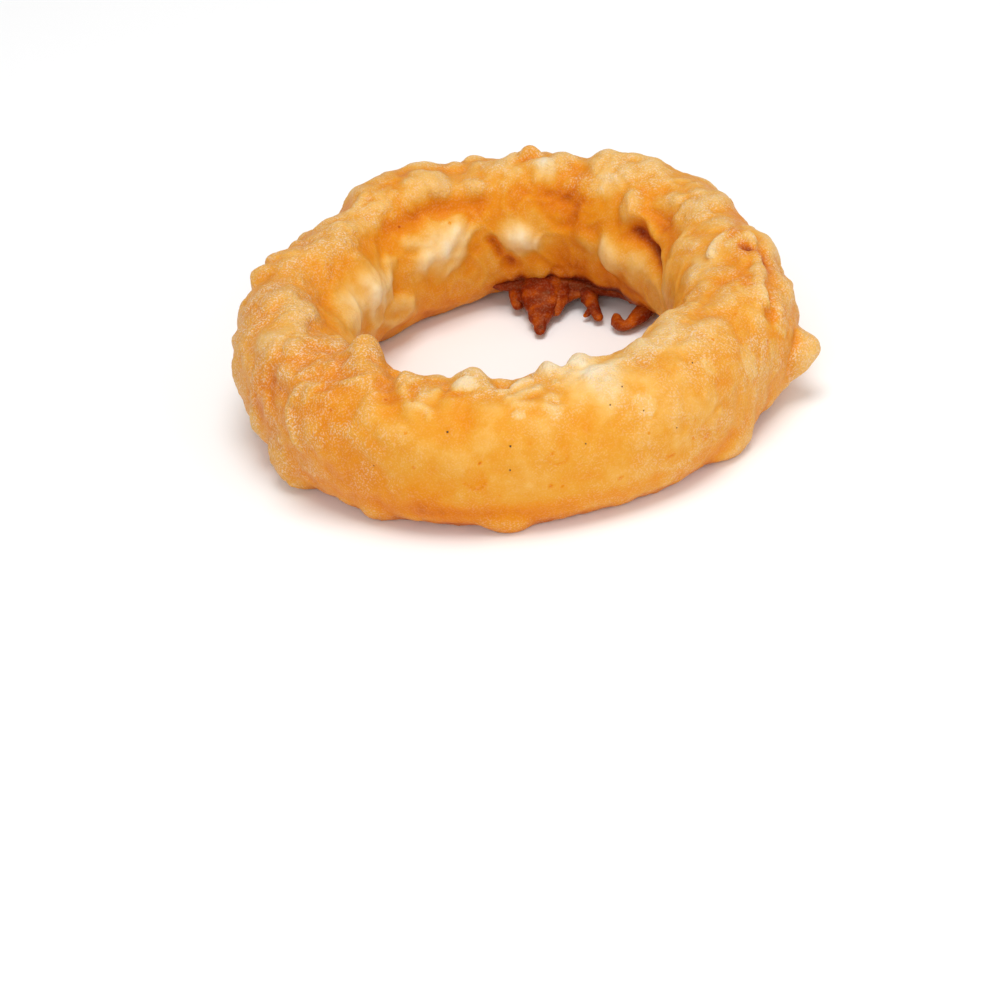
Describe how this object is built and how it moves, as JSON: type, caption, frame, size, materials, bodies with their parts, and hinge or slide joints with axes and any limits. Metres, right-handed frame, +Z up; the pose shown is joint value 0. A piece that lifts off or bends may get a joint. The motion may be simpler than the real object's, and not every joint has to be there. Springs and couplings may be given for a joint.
{
  "type": "battered onion ring",
  "caption": "Deep-fried battered onion ring, lying flat: a thick, round, uneven crust wall round an open hole, with lumps, folds, drips and a thin batter tip.",
  "frame": {"origin": "centre of the bounding box in X and Y, on the surface that the ring lies on", "axes": "+Z up through the hole; +X towards the thin batter tip at the ring's side; -Y towards the smooth side of the outer wall"},
  "size_m": [0.0906, 0.0864, 0.025],
  "materials": {
    "fried_batter": "golden fried batter crust with a soft oily sheen, paler on its blisters and browner in its hollows and along its lower edges"
  },
  "bodies": {
    "root": {"onion_ring": "fried_batter"}
  },
  "joints": []
}
